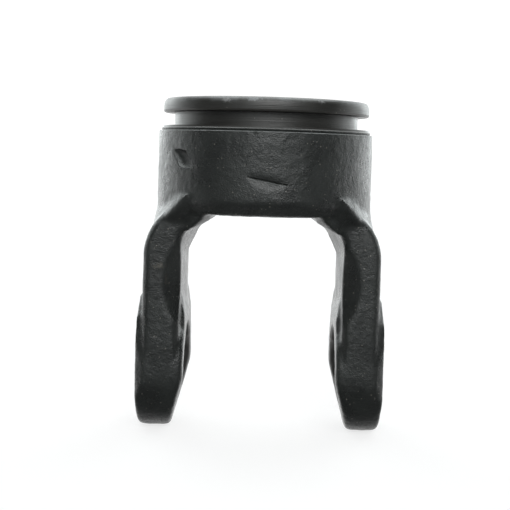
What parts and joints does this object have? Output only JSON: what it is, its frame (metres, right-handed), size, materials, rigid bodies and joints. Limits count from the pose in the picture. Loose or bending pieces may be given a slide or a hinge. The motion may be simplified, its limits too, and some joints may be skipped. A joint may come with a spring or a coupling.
{
  "type": "forged yoke",
  "caption": "Forged shaft-end yoke of a universal joint: bored ears on an arched fork under a round hub with a turned ring track and a flange.",
  "frame": {"origin": "centre of the universal joint, where the axis of the two ear bores crosses the hub's axis", "axes": "+X along the ear bores, +Z along the hub's axis from the joint's centre to the hub's end face, Y through the forging from face to face"},
  "size_m": [0.089, 0.0792, 0.1215],
  "materials": {
    "black_paint": "semi-gloss black paint over as-forged and turned steel"
  },
  "bodies": {
    "root": {"forged_yoke": "black_paint"}
  },
  "joints": []
}
